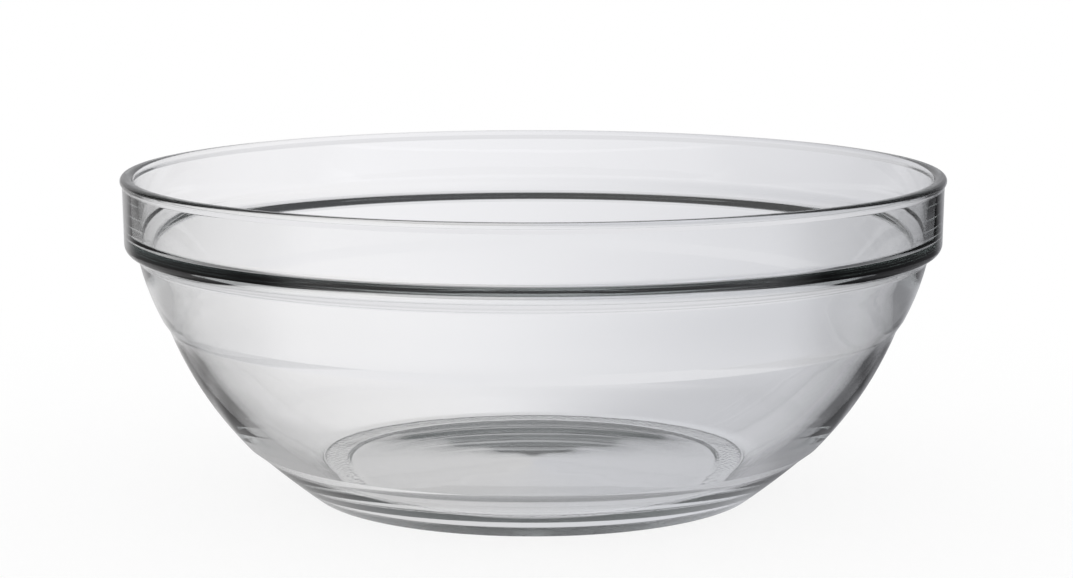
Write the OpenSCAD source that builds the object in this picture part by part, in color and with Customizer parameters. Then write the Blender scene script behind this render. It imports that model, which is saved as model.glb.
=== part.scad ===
// Clear pressed-glass salad bowl, turned in one piece: a rounded lip, an upright stacking collar with a
// ledge inside it, a flaring wall in three stretches with a small step between them, and a foot ring.
// Sizes are in millimetres. +Z is up, and the origin is on the axis in the foot ring's bearing plane.

/* [Overall] */
// Outside diameter over the lip
rim_d = 260; // [208:1:312]
// Height from the table to the top of the lip
height = 102; // [85:1:123]

/* [Lip] */
// Width of the lip, from its outside to the inside of the collar
lip_w = 4.2; // [3.6:0.1:5]
// Radius of the lip's outer edge
lip_outer_r = 1.4; // [1.1:0.1:1.7]
// Radius of the lip's inner edge
lip_inner_r = 1.9; // [1.5:0.1:2.2]
// How far the lip's bead stands out past the collar
bead_proud = 0.7; // [0.4:0.1:1.2]
// Height of the bead, from the top of the lip down to the collar
bead_h = 3.1; // [2.6:0.1:4.5]
// How far the outer edge's round turns in under the bead, in degrees
bead_turn = 30; // [10:1:45]

/* [Collar] */
// Height of the collar, from the top of the lip down to its lower corner
collar_h = 22.4; // [18:0.1:27]
// How much the collar draws in from the bead down to its lower corner
collar_draft = 0.35; // [0.2:0.05:1]
// Radius of the collar's lower corner
collar_corner_r = 3.1; // [2.2:0.1:3.3]
// How far the shoulder under the collar steps in to the wall
shoulder_in = 4.3; // [3.8:0.05:5.2]
// Height of the shoulder's slope
shoulder_drop = 3.1; // [2.6:0.1:3.8]
// Radius of the hollow between the shoulder and the wall
shoulder_cove_r = 2.7; // [1.5:0.1:3.5]

/* [Ledge inside the collar] */
// Depth of the ledge's upper edge below the top of the lip
ledge_depth = 17.8; // [14.5:0.1:21]
// How much the inside of the collar draws in from the lip down to the ledge
ledge_draft = 1.05; // [0.6:0.05:1.5]
// How far the ledge steps in
ledge_in = 3.95; // [3.3:0.05:4.7]
// Height of the ledge's slope
ledge_drop = 3.5; // [2.9:0.1:4.2]
// Radius of the hollow above the ledge
ledge_cove_r = 3.2; // [1.5:0.1:3.6]
// Radius of the ledge's lower edge
ledge_edge_r = 4.1; // [2:0.1:4.4]

/* [Wall] */
// Thickness of the wall at the middle step
mid_wall_t = 3.9; // [3.2:0.1:4.8]
// Thickness of the wall at the lower step
low_wall_t = 5; // [4.2:0.1:6]
// Height of the lower step's start above the table
low_step_up = 14.1; // [11:0.1:17]
// How far out from the foot's edge the lower step starts
low_step_out = 17.3; // [14:0.1:21]
// Height of the lower step's slope
low_step_rise = 3.2; // [2.5:0.1:4]
// How far the lower step goes out
low_step_run = 4.2; // [3.4:0.1:5]
// How far below the shoulder's foot the middle step starts
mid_step_down = 22.3; // [18.5:0.1:26]
// How far in from the shoulder's foot the middle step starts
mid_step_in = 9.1; // [7.5:0.05:10.5]
// Height of the middle step's slope
mid_step_rise = 3.4; // [2.6:0.1:4.2]
// How far the middle step goes out
mid_step_run = 2.3; // [1.8:0.1:2.8]
// How far the lowest stretch swells past a straight line
low_bow = 0.25; // [0.15:0.05:0.6]
// How far the middle stretch swells past a straight line
mid_bow = 2.1; // [1.4:0.1:2.6]
// How far the top stretch swells past a straight line
top_bow = 0.65; // [0.4:0.05:0.9]
// How far the inside swells past a straight line, from the middle step to the ledge
inner_top_bow = 0.3; // [0.2:0.05:0.7]

/* [Base] */
// Diameter of the foot, before its edge is rounded
foot_d = 141.2; // [118:0.2:170]
// Radius of the foot's outer edge
foot_edge_r = 1.4; // [0.8:0.1:2.5]
// Thickness of the floor above the recess's rim
base_t = 5.2; // [4.4:0.1:6.2]
// How far the floor's rim lies inside the foot's edge
floor_inset = 1.6; // [1.2:0.1:3]
// Radius of the hollow between the floor and the wall
floor_cove_r = 6.8; // [4:0.1:8]
// Depth of the recess under the floor, at its rim
recess_t = 0.5; // [0.3:0.1:0.8]
// How much deeper the recess is at the axis: its roof is a shallow cone
recess_rise = 2.3; // [1.5:0.1:2.6]
// Width of the bearing ring around the recess
ring_w = 9; // [6:0.1:11]
// Width of the slope between the ring and the recess
ring_slope = 2.5; // [1:0.1:4]

/* [Hidden] */

$fn = 240;
// Most degrees, and longest straight line, in which an arc of the section is drawn
arc_step = 9;
arc_chord = 5;
rim_r = rim_d / 2;
foot_r = foot_d / 2;

// Corners of the outside, as [radius, height], before their edges are rounded
collar_top = [rim_r - bead_proud, height - bead_h];
collar_low = [collar_top[0] - collar_draft, height - collar_h];
neck = collar_low - [shoulder_in, shoulder_drop];
foot = [foot_r, 0];
low_step = foot + [low_step_out, low_step_up];
low_step_end = low_step + [low_step_run, low_step_rise];
mid_step = neck - [mid_step_in, mid_step_down];
mid_step_end = mid_step + [mid_step_run, mid_step_rise];

// Radii of the outside's three stretches
low_r = bow_radius(foot, low_step, low_bow);
mid_r = bow_radius(low_step_end, mid_step, mid_bow);
top_r = bow_radius(mid_step_end, neck, top_bow);

// Corners of the inside
lip_in = [rim_r - lip_w, height - lip_inner_r];
ledge = [lip_in[0] - ledge_draft, height - ledge_depth];
ledge_end = ledge - [ledge_in, ledge_drop];
mid_c = arc_centre(low_step_end, mid_step, mid_r);
inner_mid = mid_step - mid_wall_t * unit(mid_step - mid_c);
inner_low = low_step_end - low_wall_t * unit(low_step_end - mid_c);
floor_rim = [foot_r - floor_inset, recess_t + base_t];
inner_top_r = bow_radius(inner_mid, ledge_end, inner_top_bow);
inner_low_r = through_radius(floor_rim, inner_low, inner_mid);

// Centre of the lip's outer round, its start at the bead's underside, and the inner end of the crest
lip_outer_c = [rim_r - lip_outer_r, height - lip_outer_r];
bead_low = lip_outer_c + lip_outer_r * [cos(bead_turn), -sin(bead_turn)];
lip_crest = [lip_in[0] + lip_inner_r, height];

function unit(v) = v / norm(v);
function right_of(v) = [v[1], -v[0]];
function left_of(v) = [-v[1], v[0]];

// Radius of the arc from a to b that swells by bow past the straight line between them
function bow_radius(a, b, bow) = (pow(norm(b - a), 2) / 4 + bow * bow) / (2 * bow);

// Radius of the arc from a to b that passes through q
function through_radius(a, q, b) =
    norm(q - a) * norm(b - q) * norm(b - a) / (2 * abs(cross(q - a, b - a)));

// Centre of the arc that climbs from a to b: a positive radius swells outwards, a negative one is hollow
function arc_centre(a, b, r) =
    (a + b) / 2 - sign(r) * sqrt(r * r - pow(norm(b - a), 2) / 4) * right_of(unit(b - a));

// Directions in which a swelling arc from a to b starts and ends
function arc_start(a, b, r) = left_of(unit(a - arc_centre(a, b, r)));
function arc_end(a, b, r) = left_of(unit(b - arc_centre(a, b, r)));

// A rounded corner at p, entered along u and left along v, as two outline points.
// Each point is [radius, height, signed radius of the stretch that follows it].
function rounded(p, u, v, r, next_r) =
    let (turn = acos(unit(u) * unit(v)))
    let (t = r * tan(turn / 2))
    let (side = sign(right_of(v) * u))
    [point(p - t * unit(u), side * r), point(p + t * unit(v), next_r)];
function point(p, next_r = 0) = [p[0], p[1], next_r];

// Points on the stretch from a up to b, without b itself; r is 0 for a straight one
function stretch(a, b, r) =
    r == 0 ? [a] :
    let (c = arc_centre(a, b, r))
    let (start = atan2(a[1] - c[1], a[0] - c[0]))
    let (sweep = 2 * asin(norm(b - a) / (2 * abs(r))))
    let (steps = ceil(max(sweep / arc_step, norm(b - a) / arc_chord)))
    [for (i = [0 : steps - 1])
        let (angle = start + sign(r) * sweep * i / steps)
        c + abs(r) * [cos(angle), sin(angle)]];

// An outline drawn out into points, from the bottom up
function drawn(outline) = [
    for (i = [0 : len(outline) - 2])
        each stretch(place(outline[i]), place(outline[i + 1]), outline[i][2]),
    place(outline[len(outline) - 1])
];
function place(p) = [p[0], p[1]];
function reversed(list) = [for (i = [len(list) - 1 : -1 : 0]) list[i]];

// The underside, from the axis out to the foot ring
function underside() =
    let (ring_in = foot_r - ring_w)
    [[0, recess_t + recess_rise], [ring_in - ring_slope, recess_t], [ring_in, 0]];

// The outside, from the foot's edge up to the crest of the lip
function outside() =
    let (shoulder = collar_low - neck)
    drawn(concat(
        rounded(foot, [1, 0], arc_start(foot, low_step, low_r), foot_edge_r, low_r),
        [point(low_step), point(low_step_end, mid_r), point(mid_step), point(mid_step_end, top_r)],
        rounded(neck, arc_end(mid_step_end, neck, top_r), shoulder, shoulder_cove_r, 0),
        rounded(collar_low, shoulder, collar_top - collar_low, collar_corner_r, 0),
        [point(collar_top), point(bead_low, lip_outer_r), point([lip_outer_c[0], height])]
    ));

// The inside, from the axis along the floor and up to the crest of the lip
function inside() =
    let (slope = ledge - ledge_end)
    drawn(concat(
        [point([0, floor_rim[1]])],
        rounded(floor_rim, [1, 0], arc_start(floor_rim, inner_mid, inner_low_r), floor_cove_r, inner_low_r),
        [point(inner_mid, inner_top_r)],
        rounded(ledge_end, arc_end(inner_mid, ledge_end, inner_top_r), slope, ledge_edge_r, 0),
        rounded(ledge, slope, lip_in - ledge, ledge_cove_r, 0),
        [point(lip_in, -lip_inner_r), point(lip_crest)]
    ));

// The whole bowl, turned about its axis
module bowl() {
    color([0.9, 0.95, 0.93, 0.4])
    rotate_extrude()
    polygon(concat(underside(), outside(), reversed(inside())));
}

bowl();
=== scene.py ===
"""Clear pressed-glass salad bowl: a fine turned mesh with a clear glass finish, on a white studio table.

Lengths are in metres. +Z is up, and the origin is on the bowl's axis in the plane that it stands on.
"""

import cmath
import math
from typing import NamedTuple

import bpy
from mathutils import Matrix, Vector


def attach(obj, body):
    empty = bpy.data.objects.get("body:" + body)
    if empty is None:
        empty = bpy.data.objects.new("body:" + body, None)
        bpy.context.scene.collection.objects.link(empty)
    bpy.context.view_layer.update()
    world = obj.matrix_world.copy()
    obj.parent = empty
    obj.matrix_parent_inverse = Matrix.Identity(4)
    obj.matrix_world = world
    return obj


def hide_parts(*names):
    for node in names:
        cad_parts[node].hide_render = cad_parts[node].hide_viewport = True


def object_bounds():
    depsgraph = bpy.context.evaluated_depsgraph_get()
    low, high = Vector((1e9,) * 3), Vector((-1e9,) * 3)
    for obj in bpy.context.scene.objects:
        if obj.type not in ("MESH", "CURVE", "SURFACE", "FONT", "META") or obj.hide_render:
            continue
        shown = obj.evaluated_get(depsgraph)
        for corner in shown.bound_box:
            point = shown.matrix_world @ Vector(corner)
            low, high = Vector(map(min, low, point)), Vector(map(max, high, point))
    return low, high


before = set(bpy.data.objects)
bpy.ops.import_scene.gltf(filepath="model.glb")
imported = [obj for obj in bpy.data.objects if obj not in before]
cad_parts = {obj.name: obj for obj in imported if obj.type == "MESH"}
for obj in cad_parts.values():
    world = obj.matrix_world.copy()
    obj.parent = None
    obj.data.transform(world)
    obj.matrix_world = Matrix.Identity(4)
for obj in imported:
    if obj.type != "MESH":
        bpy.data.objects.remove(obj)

bl_info = {
    "name": "Glass salad bowl",
    "version": (1, 0, 0),
    "blender": (4, 5, 0),
    "location": "View3D > Sidebar > Bowl",
    "description": "Turns a clear pressed-glass salad bowl and sets it on a white studio table",
    "category": "Add Mesh",
}

MM = 0.001
CAD_LOW, CAD_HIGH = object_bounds()
CAD_RIM = min(CAD_HIGH.x - CAD_LOW.x, CAD_HIGH.y - CAD_LOW.y)


def length(name, description, millimetres):
    """A length property whose default is given in millimetres."""
    return bpy.props.FloatProperty(
        name=name, description=description, default=millimetres * MM,
        precision=5, unit="LENGTH", subtype="DISTANCE",
    )


def share(name, description, value):
    """A property between 0 and 1."""
    return bpy.props.FloatProperty(
        name=name, description=description, default=value, min=0.0, max=1.0, subtype="FACTOR"
    )


def angle(name, description, degrees):
    """An angle property whose default is given in degrees."""
    return bpy.props.FloatProperty(
        name=name, description=description, default=math.radians(degrees), unit="ROTATION", subtype="ANGLE"
    )


def number(name, description, value):
    """A plain number."""
    return bpy.props.FloatProperty(name=name, description=description, default=value, precision=4)


def count(name, description, value):
    """A whole number."""
    return bpy.props.IntProperty(name=name, description=description, default=value, min=1)


def colour(name, description, value):
    """A colour, in linear red, green and blue."""
    return bpy.props.FloatVectorProperty(
        name=name, description=description, default=value, size=3, min=0.0, max=1.0, subtype="COLOR"
    )


class BowlSizes(bpy.types.PropertyGroup):
    """Sizes of the bowl's section"""

    rim_d: length("Rim", "Outside diameter over the lip", CAD_RIM / MM)
    height: length("Height", "From the table to the top of the lip", CAD_HIGH.z / MM)

    lip_w: length("Lip width", "From the lip's outside to the inside of the collar", 4.2)
    lip_outer_r: length("Lip outer round", "Radius of the lip's outer edge", 1.4)
    lip_inner_r: length("Lip inner round", "Radius of the lip's inner edge", 1.9)
    bead_proud: length("Bead", "How far the lip's bead stands out past the collar", 0.7)
    bead_h: length("Bead height", "From the top of the lip down to the collar", 3.1)
    bead_turn: angle("Bead turn", "How far the outer round turns in under the bead", 30)

    collar_h: length("Collar height", "From the top of the lip down to the collar's lower corner", 22.4)
    collar_draft: length("Collar draft", "How much the collar draws in towards its lower corner", 0.35)
    collar_corner_r: length("Collar corner", "Radius of the collar's lower corner", 3.1)
    shoulder_in: length("Shoulder", "How far the shoulder steps in to the wall", 4.3)
    shoulder_drop: length("Shoulder height", "Height of the shoulder's slope", 3.1)
    shoulder_cove_r: length("Shoulder hollow", "Radius of the hollow between shoulder and wall", 2.7)

    ledge_depth: length("Ledge depth", "Depth of the ledge's upper edge below the top of the lip", 17.8)
    ledge_draft: length("Ledge draft", "How much the collar's inside draws in down to the ledge", 1.05)
    ledge_in: length("Ledge", "How far the ledge steps in", 3.95)
    ledge_drop: length("Ledge height", "Height of the ledge's slope", 3.5)
    ledge_cove_r: length("Ledge hollow", "Radius of the hollow above the ledge", 3.2)
    ledge_edge_r: length("Ledge edge", "Radius of the ledge's lower edge", 4.1)

    mid_wall_t: length("Wall at middle step", "Thickness of the wall at the middle step", 3.9)
    low_wall_t: length("Wall at lower step", "Thickness of the wall at the lower step", 5)
    low_step_up: length("Lower step height", "Height of the lower step's start above the table", 14.1)
    low_step_out: length("Lower step out", "How far out from the foot's edge the lower step starts", 17.3)
    low_step_rise: length("Lower step rise", "Height of the lower step's slope", 3.2)
    low_step_run: length("Lower step run", "How far the lower step goes out", 4.2)
    mid_step_down: length("Middle step depth", "How far below the shoulder's foot this step starts", 22.3)
    mid_step_in: length("Middle step in", "How far in from the shoulder's foot this step starts", 9.1)
    mid_step_rise: length("Middle step rise", "Height of the middle step's slope", 3.4)
    mid_step_run: length("Middle step run", "How far the middle step goes out", 2.3)
    step_round: length("Step rounds", "Radius of the soft corners of both steps", 0.35)
    low_bow: length("Lowest swell", "How far the lowest stretch swells past a straight line", 0.25)
    mid_bow: length("Middle swell", "How far the middle stretch swells past a straight line", 2.1)
    top_bow: length("Top swell", "How far the top stretch swells past a straight line", 0.65)
    inner_top_bow: length("Inner swell", "Swell of the inside from the middle step to the ledge", 0.3)

    foot_d: length("Foot", "Diameter of the foot before its edge is rounded", 141.2)
    foot_edge_r: length("Foot edge", "Radius of the foot's outer edge", 1.4)
    base_t: length("Floor thickness", "Thickness of the floor above the recess's rim", 5.2)
    floor_inset: length("Floor inset", "How far the floor's rim lies inside the foot's edge", 1.6)
    floor_cove_r: length("Floor hollow", "Radius of the hollow between floor and wall", 6.8)
    recess_t: length("Recess", "Depth of the recess under the floor, at its rim", 0.5)
    recess_rise: length("Recess rise", "How much deeper the recess is at the axis", 2.3)
    recess_tip: length("Recess tip", "Radius within which the recess's cone is blunted", 3)
    ring_w: length("Bearing ring", "Width of the bearing ring around the recess", 9)
    ring_slope: length("Ring slope", "Width of the slope between ring and recess", 2.5)
    press_first: length("First press ring", "Radius of the innermost ring in the recess's roof", 6.6)
    press_second: length("Second press ring", "Radius of the next ring; each further one is wider", 21.4)
    press_tilt: angle("Press ring tilt", "How far the press rings tilt the recess's roof", 0.3)

    steps_around: count("Steps around", "Number of steps in a full turn", 464)
    stipple_t: length("Stipple", "Depth of the stipples pressed into the bearing ring", 0.16)


class GlassLook(bpy.types.PropertyGroup):
    """Finish of the glass"""

    ior: number("Refraction", "Index of refraction of soda-lime glass", 1.52)
    tint: colour("Tint", "What a long way through the glass leaves of each colour", (0.05, 0.2, 0.17))
    tint_density: number("Tint density", "How fast the glass takes light away, per metre", 4.0)
    ripple_size: length("Ripple size", "Distance between the press ripples", 22)
    ripple_h: length("Ripple height", "Height of the press ripples", 0.012)
    streak_w: length("Streak length", "Length of the fine level streaks in the glass", 60)
    streak_size: length("Streak size", "Distance between these streaks", 3)
    streak_h: length("Streak height", "Height of these streaks", 0.002)
    grain_size: length("Grain size", "Distance between the fine grains on the bearing ring", 1.1)
    grain_h: length("Grain height", "Height of these grains", 0.12)
    grain_to: length("Grain up to", "Height above the table up to which the grain reaches", 0.25)
    mottle_h: length("Mottle height", "Height of the fainter grain on the recess's roof", 0.003)
    heel_h: length("Heel mottle", "Height of the grain on the foot's heel", 0.06)
    brush_size: length("Brush size", "Distance between the fine turned rings underneath", 1.3)
    brush_h: length("Brush height", "Height of these fine rings", 0.0025)
    under_to: length("Underside up to", "Height above the table up to which mottle and fine rings reach", 4)


class StudioLook(bpy.types.PropertyGroup):
    """Camera, table and light"""

    camera_x: length("Camera side", "How far the camera stands to the right of the axis", 1)
    camera_back: length("Camera distance", "How far the camera stands in front of the axis", 910)
    camera_up: length("Camera height", "Height of the camera above the table", 204.5)
    camera_down: angle("Camera tilt", "How far the camera looks down", 8.786)
    camera_lens: number("Lens", "Focal length in millimetres on a 36 mm wide frame", 96.83)

    table_colour: colour("Table", "Colour of the table", (0.97, 0.97, 0.97))
    table_r: length("Table radius", "Radius of the round table", 4000)
    table_gap: length("Table gap", "How far the table lies below the plane of the foot", 0.05)
    shadow: share("Shadow", "How much of the bowl's soft shadow shows on the table", 0.17)
    white_from: length("White from", "Distance from the axis where the table starts to turn white", 160)
    white_to: length("White to", "Distance from the axis where the table is all white", 420)
    light_left: colour("Light from the left", "Colour of the light on the left", (1.0, 0.99, 0.995))
    light_right: colour("Light from the right", "Colour of the light on the right", (0.945, 0.952, 1.0))
    bright_to: angle("Bright up to", "Elevation up to which the bright backdrop reaches", 15)
    dark_from: angle("Dark from", "Elevation above which the room is dark", 36)
    overhead: share("Overhead", "Brightness of the dark room above the backdrop", 0.08)
    shade: share("Shade", "Light that comes down on the table through the glass", 0.85)


def unit(v):
    """The direction of a vector in the section plane, where a point is radius + height * 1j."""
    return v / abs(v)


def right_of(v):
    """A vector turned a quarter turn clockwise."""
    return -1j * v


def dot(a, b):
    """The scalar product of two vectors in the section plane."""
    return a.real * b.real + a.imag * b.imag


def bow_radius(a, b, bow):
    """Radius of the arc from a to b that swells by bow past the straight line between them."""
    return (abs(b - a) ** 2 / 4 + bow * bow) / (2 * bow)


def through_radius(a, q, b):
    """Radius of the arc from a to b that passes through q."""
    area = abs((q - a).real * (b - a).imag - (q - a).imag * (b - a).real)
    return abs(q - a) * abs(b - q) * abs(b - a) / (2 * area)


def arc_centre(a, b, r):
    """Centre of the arc that climbs from a to b.

    A positive radius swells outwards, a negative one is hollow.
    """
    half = math.sqrt(r * r - abs(b - a) ** 2 / 4)
    return (a + b) / 2 - math.copysign(half, r) * right_of(unit(b - a))


def arc_ways(a, b, r):
    """Directions in which the arc that climbs from a to b starts and ends."""
    centre = arc_centre(a, b, r)
    return [math.copysign(1, r) * 1j * unit(p - centre) for p in (a, b)]


def rounded(p, u, v, r, next_r=0.0):
    """A rounded corner at p, entered along u and left along v.

    It is two pairs of a point and the radius of the stretch that follows it.
    """
    u, v = unit(u), unit(v)
    turn = math.acos(max(-1.0, min(1.0, dot(u, v))))
    t = r * math.tan(turn / 2)
    side = math.copysign(1, dot(right_of(v), u))
    return [(p - t * u, side * r), (p + t * v, next_r)]


# Most turn, and longest chord, in one step of an arc
ARC_STEP, ARC_CHORD = math.radians(9), 4 * MM
# Distance of the extra points that keep the shading flat up to a straight stretch's ends
SUPPORT = 0.2 * MM
# Points nearer than this are one point
TINY = SUPPORT / 100
# Steps across the recess's roof and the bearing ring, and their number on the slope between the two
ROOF_STEP, RING_STEP, SLOPE_STEPS = 1.1 * MM, 0.6 * MM, 8
# Below 1, the press rings grow wider outwards
PRESS_POWER = 0.75


def stretch(a, b, r):
    """Points from a towards b, without b: on an arc, or on a straight line with a point close to each end."""
    if r:
        centre = arc_centre(a, b, r)
        sweep = 2 * math.asin(abs(b - a) / (2 * abs(r)))
        steps = math.ceil(max(sweep / ARC_STEP, abs(b - a) / ARC_CHORD))
        turn = math.copysign(sweep / steps, r)
        return [centre + (a - centre) * cmath.exp(1j * turn * i) for i in range(steps)]
    if abs(b - a) < 4 * SUPPORT:
        return [a]
    return [a, a + SUPPORT * unit(b - a), b - SUPPORT * unit(b - a)]


def drawn(outline):
    """An outline of (point, radius that follows) pairs, drawn out into points."""
    points = []
    for (a, r), (b, _) in zip(outline, outline[1:]):
        points += stretch(a, b, r)
    return points + [outline[-1][0]]


def soft_step(t):
    """An even S-shaped climb from 0 to 1."""
    return t * t * (3 - 2 * t)


def press_ring(s, r):
    """Height of the press rings at radius r. They grow wider outwards, and all tilt the roof alike."""
    first, second, here = (x**PRESS_POWER for x in (s.press_first, s.press_second, r))
    phase = math.tau * (here - first) / (second - first) - math.pi / 2
    width = (second - first) / PRESS_POWER * max(r, ROOF_STEP) ** (1 - PRESS_POWER)
    return math.tan(s.press_tilt) * width / math.tau * math.cos(phase)


def ring_inside(s):
    """Inner radius of the flat bearing ring."""
    return s.foot_d / 2 - s.ring_w


def underside(s, ring_end):
    """The underside's points: the recess's shallow cone with its press rings, the slope and the flat ring."""
    ring_in = ring_inside(s)
    rim = ring_in - s.ring_slope

    def blunt(r):
        return math.hypot(r, s.recess_tip) - s.recess_tip

    points = []
    steps = math.ceil(rim / ROOF_STEP)
    for i in range(steps + 1):
        r = rim * i / steps
        cone = s.recess_rise * (1 - blunt(r) / blunt(rim))
        points.append(complex(r, s.recess_t + cone + press_ring(s, r)))
    last = points[-1].imag
    for i in range(1, SLOPE_STEPS + 1):
        t = i / SLOPE_STEPS
        points.append(complex(rim + s.ring_slope * t, last * (1 - soft_step(t))))
    steps = math.ceil((ring_end - ring_in) / RING_STEP)
    points += [complex(ring_in + (ring_end - ring_in) * i / steps, 0) for i in range(1, steps)]
    return points


def section(s):
    """The section's points, from the axis under the floor, up the outside and down the inside."""
    rim_r, foot_r = s.rim_d / 2, s.foot_d / 2
    collar_top = complex(rim_r - s.bead_proud, s.height - s.bead_h)
    collar_low = complex(collar_top.real - s.collar_draft, s.height - s.collar_h)
    neck = collar_low - complex(s.shoulder_in, s.shoulder_drop)
    foot = complex(foot_r, 0)
    low_step = foot + complex(s.low_step_out, s.low_step_up)
    low_step_end = low_step + complex(s.low_step_run, s.low_step_rise)
    mid_step = neck - complex(s.mid_step_in, s.mid_step_down)
    mid_step_end = mid_step + complex(s.mid_step_run, s.mid_step_rise)
    low_r = bow_radius(foot, low_step, s.low_bow)
    mid_r = bow_radius(low_step_end, mid_step, s.mid_bow)
    top_r = bow_radius(mid_step_end, neck, s.top_bow)

    lip_in = complex(rim_r - s.lip_w, s.height - s.lip_inner_r)
    ledge = complex(lip_in.real - s.ledge_draft, s.height - s.ledge_depth)
    ledge_end = ledge - complex(s.ledge_in, s.ledge_drop)
    mid_c = arc_centre(low_step_end, mid_step, mid_r)
    inner_mid = mid_step - s.mid_wall_t * unit(mid_step - mid_c)
    inner_low = low_step_end - s.low_wall_t * unit(low_step_end - mid_c)
    floor_rim = complex(foot_r - s.floor_inset, s.recess_t + s.base_t)
    inner_top_r = bow_radius(inner_mid, ledge_end, s.inner_top_bow)
    inner_low_r = through_radius(floor_rim, inner_low, inner_mid)

    lip_outer_c = complex(rim_r - s.lip_outer_r, s.height - s.lip_outer_r)
    bead_low = lip_outer_c + s.lip_outer_r * cmath.exp(-1j * s.bead_turn)
    lip_crest = complex(lip_in.real + s.lip_inner_r, s.height)

    low_rise, mid_rise = low_step_end - low_step, mid_step_end - mid_step
    shoulder = collar_low - neck
    bead = bead_low - collar_top
    low_starts, low_ends = arc_ways(foot, low_step, low_r)
    mid_starts, mid_ends = arc_ways(low_step_end, mid_step, mid_r)
    top_starts, top_ends = arc_ways(mid_step_end, neck, top_r)
    outside = rounded(foot, 1, low_starts, s.foot_edge_r, low_r)
    outside += rounded(low_step, low_ends, low_rise, s.step_round)
    outside += rounded(low_step_end, low_rise, mid_starts, s.step_round, mid_r)
    outside += rounded(mid_step, mid_ends, mid_rise, s.step_round)
    outside += rounded(mid_step_end, mid_rise, top_starts, s.step_round, top_r)
    outside += rounded(neck, top_ends, shoulder, s.shoulder_cove_r)
    outside += rounded(collar_low, shoulder, collar_top - collar_low, s.collar_corner_r)
    outside += rounded(collar_top, collar_top - collar_low, bead, s.step_round)
    outside += [(bead_low, s.lip_outer_r), (complex(lip_outer_c.real, s.height), 0.0)]

    ledge_slope = ledge - ledge_end
    inner_low_starts, _ = arc_ways(floor_rim, inner_mid, inner_low_r)
    _, inner_top_ends = arc_ways(inner_mid, ledge_end, inner_top_r)
    inside = [(complex(0, floor_rim.imag), 0.0)]
    inside += rounded(floor_rim, 1, inner_low_starts, s.floor_cove_r, inner_low_r)
    inside += [(inner_mid, inner_top_r)]
    inside += rounded(ledge_end, inner_top_ends, ledge_slope, s.ledge_edge_r)
    inside += rounded(ledge, ledge_slope, lip_in - ledge, s.ledge_cove_r)
    inside += [(lip_in, -s.lip_inner_r), (lip_crest, 0.0)]
    return underside(s, outside[0][0].real) + drawn(outside) + drawn(inside)[::-1]


def node(tree, kind, **settings):
    """A new node, with its own settings given by name and its inputs by position, as in_0=1.0."""
    made = tree.nodes.new(kind)
    for name, value in settings.items():
        if name.startswith("in_"):
            socket = made.inputs[int(name[3:])]
            if isinstance(value, bpy.types.NodeSocket):
                tree.links.new(value, socket)
            else:
                socket.default_value = value
        else:
            setattr(made, name, value)
    return made


def math_node(tree, operation, a, b=0.0):
    """The output of a Math node."""
    return node(tree, "ShaderNodeMath", operation=operation, in_0=a, in_1=b).outputs[0]


def ramp(tree, value, low, high, start=0.0, end=1.0):
    """A soft change from start to end while a value goes from low to high."""
    return node(
        tree, "ShaderNodeMapRange", interpolation_type="SMOOTHSTEP",
        in_0=value, in_1=low, in_2=high, in_3=start, in_4=end,
    ).outputs[0]


def between(tree, factor, a, b):
    """A number that goes from a to b with a factor."""
    return node(tree, "ShaderNodeMix", in_0=factor, in_2=a, in_3=b).outputs[0]


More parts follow.
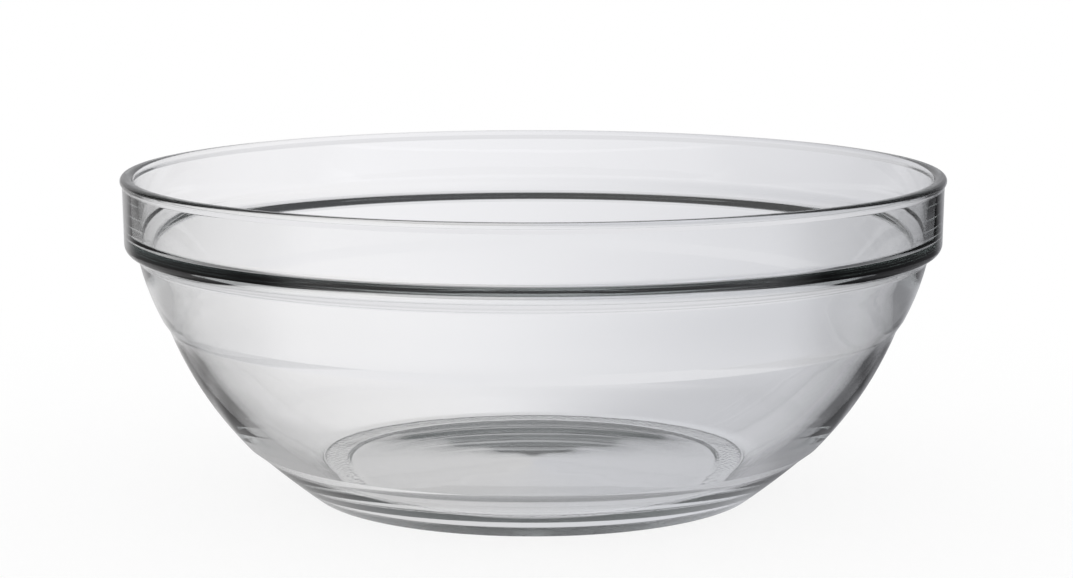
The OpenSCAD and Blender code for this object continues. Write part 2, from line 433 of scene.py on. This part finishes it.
def turning_tree(glass):
    """Geometry nodes that turn a section, a chain of points in the XZ plane, about the Z axis."""
    tree = bpy.data.node_groups.new("turn_section", "GeometryNodeTree")
    tree.interface.new_socket("Section", in_out="INPUT", socket_type="NodeSocketGeometry")
    for name, kind in (
        ("Steps around", "NodeSocketInt"),
        ("Stipple depth", "NodeSocketFloat"),
        ("Stipples from", "NodeSocketFloat"),
        ("Stipples to", "NodeSocketFloat"),
    ):
        tree.interface.new_socket(name, in_out="INPUT", socket_type=kind)
    tree.interface.new_socket("Bowl", in_out="OUTPUT", socket_type="NodeSocketGeometry")
    given = node(tree, "NodeGroupInput").outputs
    size = node(tree, "GeometryNodeAttributeDomainSize", in_0=given["Section"], component="MESH")
    points = size.outputs["Point Count"]

    grid = node(
        tree, "GeometryNodeMeshGrid", in_2=math_node(tree, "ADD", given["Steps around"], 1.0), in_3=points
    )
    index = node(tree, "GeometryNodeInputIndex").outputs[0]
    along = math_node(tree, "MODULO", index, points)
    around = math_node(tree, "FLOOR", math_node(tree, "DIVIDE", index, points))
    turn = math_node(tree, "DIVIDE", math_node(tree, "MULTIPLY", around, math.tau), given["Steps around"])

    place = node(tree, "GeometryNodeInputPosition").outputs[0]
    sample = node(
        tree, "GeometryNodeSampleIndex", data_type="FLOAT_VECTOR",
        in_0=given["Section"], in_1=place, in_2=along,
    ).outputs[0]
    parts = node(tree, "ShaderNodeSeparateXYZ", in_0=sample).outputs
    radius, height = parts["X"], parts["Z"]

    flat = math_node(tree, "LESS_THAN", height, TINY)
    past_start = math_node(tree, "GREATER_THAN", radius, given["Stipples from"])
    before_end = math_node(tree, "LESS_THAN", radius, given["Stipples to"])
    stippled = math_node(tree, "MULTIPLY", math_node(tree, "MULTIPLY", flat, past_start), before_end)
    # One stipple takes four steps each way
    quarter = math.tau / 4
    waves = math_node(
        tree, "MULTIPLY",
        math_node(tree, "COSINE", math_node(tree, "MULTIPLY", around, quarter)),
        math_node(tree, "COSINE", math_node(tree, "MULTIPLY", along, quarter)),
    )
    lift = math_node(tree, "MULTIPLY", math_node(tree, "ADD", waves, 1.0), 0.5)
    lift = math_node(tree, "MULTIPLY", math_node(tree, "MULTIPLY", lift, stippled), given["Stipple depth"])

    turned = node(
        tree, "ShaderNodeCombineXYZ",
        in_0=math_node(tree, "MULTIPLY", radius, math_node(tree, "COSINE", turn)),
        in_1=math_node(tree, "MULTIPLY", radius, math_node(tree, "SINE", turn)),
        in_2=math_node(tree, "ADD", height, lift),
    )
    shaped = node(tree, "GeometryNodeSetPosition", in_0=grid.outputs["Mesh"], in_2=turned.outputs[0])
    closed = node(tree, "GeometryNodeMergeByDistance", in_0=shaped.outputs[0])
    closed.inputs["Distance"].default_value = TINY
    smooth = node(tree, "GeometryNodeSetShadeSmooth", in_0=closed.outputs[0])
    real = node(tree, "GeometryNodeRealizeInstances", in_0=smooth.outputs[0])
    dressed = node(tree, "GeometryNodeSetMaterial", in_0=real.outputs[0])
    dressed.inputs["Material"].default_value = glass
    node(tree, "NodeGroupOutput", in_0=dressed.outputs[0])
    return tree


def set_inputs(modifier, values):
    """Sets a geometry nodes modifier's inputs, given by name, through their identifiers."""
    for item in modifier.node_group.interface.items_tree:
        if item.in_out == "INPUT" and item.name in values:
            modifier[item.identifier] = values[item.name]


# How many finer layers of noise each kind of mark has
RIPPLE_DETAIL, STREAK_DETAIL, FINE_DETAIL = 1.0, 2.0, 2.0
# Shares of their upper limits at which the bearing ring's grain and the underside's marks start to fade
GRAIN_FADE, UNDER_FADE = 0.5, 0.9


def noise(tree, place, scale, detail):
    """Soft random heights, by place."""
    made = node(tree, "ShaderNodeTexNoise", in_0=place)
    made.inputs["Scale"].default_value = scale
    made.inputs["Detail"].default_value = detail
    return made.outputs[0]


def rings_noise(tree, radius, size):
    """Soft random heights that differ only by the distance from the axis."""
    made = node(tree, "ShaderNodeTexNoise", noise_dimensions="1D")
    tree.links.new(radius, made.inputs["W"])
    made.inputs["Scale"].default_value = 1 / size
    made.inputs["Detail"].default_value = FINE_DETAIL
    return made.outputs[0]


def press_marks(tree, place, look):
    """Height of the soft ripples and the fine level streaks that pressing leaves."""
    ripples = noise(tree, place, 1 / look.ripple_size, RIPPLE_DETAIL)
    drawn_out = node(tree, "ShaderNodeMapping", in_0=place)
    drawn_out.inputs["Scale"].default_value = (1 / look.streak_w, 1 / look.streak_w, 1 / look.streak_size)
    streaks = noise(tree, drawn_out.outputs[0], 1.0, STREAK_DETAIL)
    height = math_node(tree, "MULTIPLY", ripples, look.ripple_h)
    return math_node(tree, "ADD", height, math_node(tree, "MULTIPLY", streaks, look.streak_h))


def underside_marks(tree, place, look, sizes):
    """Height of the grain on the bearing ring and heel, and of the mottle and fine rings underneath."""
    parts = node(tree, "ShaderNodeSeparateXYZ", in_0=place).outputs
    flat = node(tree, "ShaderNodeCombineXYZ", in_0=parts["X"], in_1=parts["Y"]).outputs[0]
    radius = node(tree, "ShaderNodeVectorMath", operation="LENGTH", in_0=flat).outputs["Value"]
    ring_in = ring_inside(sizes)
    mottle_h = ramp(tree, radius, ring_in - sizes.ring_slope, ring_in, look.mottle_h, look.heel_h)
    grain_h = ramp(tree, parts["Z"], GRAIN_FADE * look.grain_to, look.grain_to, look.grain_h, mottle_h)
    grain = math_node(tree, "MULTIPLY", noise(tree, place, 1 / look.grain_size, FINE_DETAIL), grain_h)
    brush = math_node(tree, "MULTIPLY", rings_noise(tree, radius, look.brush_size), look.brush_h)
    under = ramp(tree, parts["Z"], UNDER_FADE * look.under_to, look.under_to, 1.0, 0.0)
    return math_node(tree, "MULTIPLY", math_node(tree, "ADD", grain, brush), under)


def clear_glass(look, sizes):
    """Clear soda-lime glass: faintly green in depth, with the marks that pressing and the mould leave."""
    material = bpy.data.materials.new("clear_glass")
    material.use_nodes = True
    tree = material.node_tree
    tree.nodes.clear()
    place = node(tree, "ShaderNodeTexCoord").outputs["Object"]
    marks = math_node(tree, "ADD", press_marks(tree, place, look), underside_marks(tree, place, look, sizes))
    bump = node(tree, "ShaderNodeBump")
    bump.inputs["Distance"].default_value = 1.0
    tree.links.new(marks, bump.inputs["Height"])
    glass = node(tree, "ShaderNodeBsdfPrincipled")
    glass.inputs["Base Color"].default_value = (1, 1, 1, 1)
    glass.inputs["Roughness"].default_value = 0.0
    glass.inputs["IOR"].default_value = look.ior
    glass.inputs["Transmission Weight"].default_value = 1.0
    tree.links.new(bump.outputs[0], glass.inputs["Normal"])
    depth = node(tree, "ShaderNodeVolumeAbsorption")
    depth.inputs["Color"].default_value = (*look.tint, 1)
    depth.inputs["Density"].default_value = look.tint_density
    out = node(tree, "ShaderNodeOutputMaterial")
    tree.links.new(glass.outputs[0], out.inputs["Surface"])
    tree.links.new(depth.outputs[0], out.inputs["Volume"])
    return material


class BOWL_OT_bowl(bpy.types.Operator):
    """Turn the glass bowl from its section"""

    bl_idname = "bowl.bowl"
    bl_label = "Glass bowl"

    def execute(self, context):
        sizes, look = context.scene.bowl_sizes, context.scene.bowl_glass
        points = section(sizes)
        chain = bpy.data.meshes.new("bowl_section")
        links = [(i, i + 1) for i in range(len(points) - 1)]
        chain.from_pydata([(p.real, 0, p.imag) for p in points], links, [])
        draft = bpy.data.objects.new("bowl_draft", chain)
        context.scene.collection.objects.link(draft)
        turning = draft.modifiers.new("turning", "NODES")
        turning.node_group = turning_tree(clear_glass(look, sizes))
        set_inputs(turning, {
            "Steps around": sizes.steps_around,
            "Stipple depth": sizes.stipple_t,
            "Stipples from": ring_inside(sizes),
            "Stipples to": sizes.foot_d / 2 - sizes.foot_edge_r,
        })
        mesh = bpy.data.meshes.new_from_object(draft.evaluated_get(context.evaluated_depsgraph_get()))
        bpy.data.objects.remove(draft)
        if not mesh.polygons:
            raise RuntimeError("the bowl's section made no faces")
        bowl = bpy.data.objects.new("glass_bowl", mesh)
        context.scene.collection.objects.link(bowl)
        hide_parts("bowl")
        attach(bowl, "root")
        return {"FINISHED"}


class Ring(NamedTuple):
    """One ring of the painted light and shade that the glass shows on the table, or of the backdrop's light:
    brightness by side, from 0 to 1
    """

    behind: float
    left: float
    right: float
    front: float
    # How far the part behind reaches to each side, in degrees
    reach: float
    # Distances from the axis where the ring starts to show and where it is full, in millimetres
    start: float = 0
    full: float = 0


# Painted light and shade on the table for light that comes straight through the glass, from the axis
# outwards: a painted shadow under the bowl and painted shade at its sides and front; then the backdrop's
# light
CLEAR_PAINTED_LIGHT = (
    Ring(0.77, 0.77, 0.77, 0.77, reach=60),
    Ring(0.86, 0.86, 0.86, 0.86, reach=60, start=56, full=66),
    Ring(1.0, 0.82, 0.73, 0.88, reach=60, start=74, full=82),
    Ring(0.98, 0.82, 0.73, 0.88, reach=60, start=104, full=124),
    Ring(1.0, 0.9, 0.7, 0.9, reach=60, start=180, full=220),
    Ring(1.0, 0.9, 0.75, 0.9, reach=50, start=480, full=640),
)
CLEAR_BACKDROP = Ring(0.9, 0.85, 0.75, 0.85, reach=50)
# The same painted light and shade on the table for light that the glass mirrored on its way, and then the
# backdrop's light
MIRROR_PAINTED_LIGHT = (
    Ring(0.55, 0.55, 0.55, 0.55, reach=52),
    Ring(0.55, 0.54, 0.42, 0.75, reach=52, start=56, full=66),
    Ring(0.33, 0.46, 0.32, 0.45, reach=52, start=74, full=82),
    Ring(0.65, 0.27, 0.2, 0.35, reach=70, start=104, full=124),
    Ring(0.5, 0.2, 0.1, 0.8, reach=64, start=140, full=160),
    Ring(0.72, 0.5, 0.25, 0.95, reach=44, start=180, full=220),
    Ring(0.63, 0.18, 0.1, 0.95, reach=40, start=380, full=440),
    Ring(0.71, 0.04, 0.01, 0.75, reach=37, start=560, full=680),
)
MIRROR_BACKDROP = Ring(0.55, 0.05, 0.1, 0.15, reach=35)
# How far the part behind is turned to the left, and how soft its edges are
BACK_TURN, BACK_EDGE = math.radians(3), math.radians(9)
# Bearings between which the sides pass into the front
FRONT_FROM, FRONT_TO = math.radians(105), math.radians(125)
# Bearings between which the part behind grows dimmer to the right, and what is left of it there
DIM_FROM, DIM_TO, DIM = math.radians(-14), math.radians(30), 0.73
# Sine of the bearing at which the light has the whole colour of its side
TONE_REACH = 0.77


def level_around(tree, bearing, ring):
    """Brightness of one ring of the surroundings, by the bearing from straight behind the bowl: painted light
    and shade on the table, or the backdrop's light.
    """
    if ring.behind == ring.left == ring.right == ring.front:
        return ring.behind
    reach = math.radians(ring.reach)
    off = math_node(tree, "ABSOLUTE", math_node(tree, "ADD", bearing, BACK_TURN))
    back = ramp(tree, off, reach - BACK_EDGE, reach + BACK_EDGE, 1.0, 0.0)
    dimmed = ramp(tree, bearing, DIM_FROM, DIM_TO, ring.behind, ring.behind * DIM)
    side = between(tree, math_node(tree, "GREATER_THAN", bearing, 0.0), ring.left, ring.right)
    ahead = ramp(tree, off, FRONT_FROM, FRONT_TO)
    return between(tree, back, between(tree, ahead, side, ring.front), dimmed)


def painted_table_light(tree, distance, bearing, rings):
    """Painted light and shade of the table, with the bowl's painted shadow, by the distance from the axis and
    the bearing.
    """
    level = level_around(tree, bearing, rings[0])
    for ring in rings[1:]:
        step = ramp(tree, distance, ring.start * MM, ring.full * MM)
        level = between(tree, step, level, level_around(tree, bearing, ring))
    return level


def light_around(tree, bearing, look):
    """Colour of the surroundings, by the bearing from straight behind the bowl."""
    side = ramp(tree, math_node(tree, "SINE", bearing), -TONE_REACH, TONE_REACH)
    left, right = (*look.light_left, 1), (*look.light_right, 1)
    return node(tree, "ShaderNodeMix", data_type="RGBA", in_0=side, in_6=left, in_7=right).outputs[2]


def bearing_of(tree, vector):
    """The bearing of a vector from +Y towards +X."""
    parts = node(tree, "ShaderNodeSeparateXYZ", in_0=vector).outputs
    return math_node(tree, "ARCTAN2", parts["X"], parts["Y"])


def glass_rays(tree):
    """Three marks of 0 or 1 for what a ray has met.

    The first is for a ray that the glass bends or mirrors, the second for such a ray that has met no matt
    surface since the camera, and the third for a ray that was mirrored at least once.
    """
    rays = node(tree, "ShaderNodeLightPath").outputs
    bent = math_node(tree, "MAXIMUM", rays["Is Glossy Ray"], rays["Is Transmission Ray"])
    first = math_node(tree, "LESS_THAN", rays["Diffuse Depth"], 0.5)
    mirrored = math_node(tree, "GREATER_THAN", rays["Glossy Depth"], 0.5)
    return bent, math_node(tree, "MULTIPLY", bent, first), mirrored


def white_table(look):
    """A pale table that keeps the bowl's soft shadow and turns plain white further out. To the glass it glows
    instead with painted light and shade, the bowl's painted shadow among it.
    """
    material = bpy.data.materials.new("white_table")
    material.use_nodes = True
    tree = material.node_tree
    tree.nodes.clear()
    place = node(tree, "ShaderNodeTexCoord").outputs["Object"]
    distance = node(tree, "ShaderNodeVectorMath", operation="LENGTH", in_0=place).outputs["Value"]
    bearing = bearing_of(tree, place)
    _, seen, mirrored = glass_rays(tree)

    # Painted light and shade that the glass sees on the table, with a painted shadow under and beside the
    # bowl
    clear_level = painted_table_light(tree, distance, bearing, CLEAR_PAINTED_LIGHT)
    level = between(tree, mirrored, clear_level, painted_table_light(tree, distance, bearing, MIRROR_PAINTED_LIGHT))
    shown = node(tree, "ShaderNodeEmission", in_0=light_around(tree, bearing, look), in_1=level).outputs[0]

    pale = node(tree, "ShaderNodeBsdfDiffuse", in_0=(*look.table_colour, 1)).outputs[0]
    white = node(tree, "ShaderNodeEmission", in_0=(1, 1, 1, 1), in_1=1.0).outputs[0]
    clear = ramp(tree, distance, look.white_from, look.white_to, 1 - look.shadow, 1.0)
    to_camera = node(tree, "ShaderNodeLightPath").outputs["Is Camera Ray"]
    clear = math_node(tree, "MULTIPLY", clear, to_camera)
    plain = node(tree, "ShaderNodeMixShader", in_0=clear, in_1=pale, in_2=white).outputs[0]
    # Rays from the glass see the glowing painted light and shade; other rays see the pale table
    mixed = node(tree, "ShaderNodeMixShader", in_0=seen, in_1=plain, in_2=shown).outputs[0]
    out = node(tree, "ShaderNodeOutputMaterial")
    tree.links.new(mixed, out.inputs["Surface"])
    return material


def studio_world(look):
    """Soft white light for the table, and for the glass a bright backdrop that ends under a dark room."""
    world = bpy.data.worlds.new("studio")
    world.use_nodes = True
    tree = world.node_tree
    tree.nodes.clear()
    way = node(tree, "ShaderNodeTexCoord").outputs["Generated"]
    elevation = math_node(tree, "ARCSINE", node(tree, "ShaderNodeSeparateXYZ", in_0=way).outputs["Z"])
    rise = ramp(tree, elevation, look.bright_to, look.dark_from)
    bearing = bearing_of(tree, way)
    bent, seen, mirrored = glass_rays(tree)
    clear_level = level_around(tree, bearing, CLEAR_BACKDROP)
    backdrop = between(tree, mirrored, clear_level, level_around(tree, bearing, MIRROR_BACKDROP))
    backdrop = between(tree, rise, backdrop, look.overhead)
    level = between(tree, seen, between(tree, bent, 1.0, look.shade), backdrop)
    light = light_around(tree, bearing, look)
    tone = node(tree, "ShaderNodeMix", data_type="RGBA", in_0=seen, in_6=(1, 1, 1, 1), in_7=light)
    shining = node(tree, "ShaderNodeBackground", in_0=tone.outputs[2], in_1=level)
    node(tree, "ShaderNodeOutputWorld", in_0=shining.outputs[0])
    return world


TABLE_SIDES = 96
# How often a ray may pass through glass, and how often it may be mirrored
GLASS_BOUNCES, MIRROR_BOUNCES = 32, 16


class BOWL_OT_stage(bpy.types.Operator):
    """Set up the table, the light and the camera"""

    bl_idname = "bowl.stage"
    bl_label = "Studio"

    def execute(self, context):
        scene, look = context.scene, context.scene.bowl_studio
        bpy.ops.mesh.primitive_circle_add(
            vertices=TABLE_SIDES, radius=look.table_r, fill_type="NGON", location=(0, 0, -look.table_gap)
        )
        table = context.object
        table.name = "table"
        table.data.materials.append(white_table(look))
        scene.world = studio_world(look)

        camera = bpy.data.objects.new("camera", bpy.data.cameras.new("camera"))
        camera.data.lens = look.camera_lens
        camera.location = (look.camera_x, -look.camera_back, look.camera_up)
        camera.rotation_euler = (math.pi / 2 - look.camera_down, 0, 0)
        scene.collection.objects.link(camera)
        scene.camera = camera
        scene.view_settings.view_transform = "Standard"
        scene.cycles.max_bounces = GLASS_BOUNCES
        scene.cycles.transmission_bounces = GLASS_BOUNCES
        scene.cycles.glossy_bounces = MIRROR_BOUNCES
        return {"FINISHED"}


class BOWL_PT_panel(bpy.types.Panel):
    """Lists the bowl's steps and sizes"""

    bl_idname = "BOWL_PT_panel"
    bl_label = "Glass salad bowl"
    bl_space_type = "VIEW_3D"
    bl_region_type = "UI"
    bl_category = "Bowl"

    def draw(self, context):
        layout = self.layout
        for operator in (BOWL_OT_bowl, BOWL_OT_stage):
            layout.operator(operator.bl_idname)
        for group in (context.scene.bowl_sizes, context.scene.bowl_glass, context.scene.bowl_studio):
            box = layout.box()
            for name in group.__annotations__:
                box.prop(group, name)


CLASSES = (BowlSizes, GlassLook, StudioLook, BOWL_OT_bowl, BOWL_OT_stage, BOWL_PT_panel)


def register():
    for cls in CLASSES:
        bpy.utils.register_class(cls)
    bpy.types.Scene.bowl_sizes = bpy.props.PointerProperty(type=BowlSizes)
    bpy.types.Scene.bowl_glass = bpy.props.PointerProperty(type=GlassLook)
    bpy.types.Scene.bowl_studio = bpy.props.PointerProperty(type=StudioLook)


def unregister():
    for name in ("bowl_sizes", "bowl_glass", "bowl_studio"):
        delattr(bpy.types.Scene, name)
    for cls in reversed(CLASSES):
        bpy.utils.unregister_class(cls)


def main():
    """Builds the bowl and its stage."""
    register()
    bpy.ops.bowl.bowl()
    bpy.ops.bowl.stage()


if __name__ == "__main__":
    main()
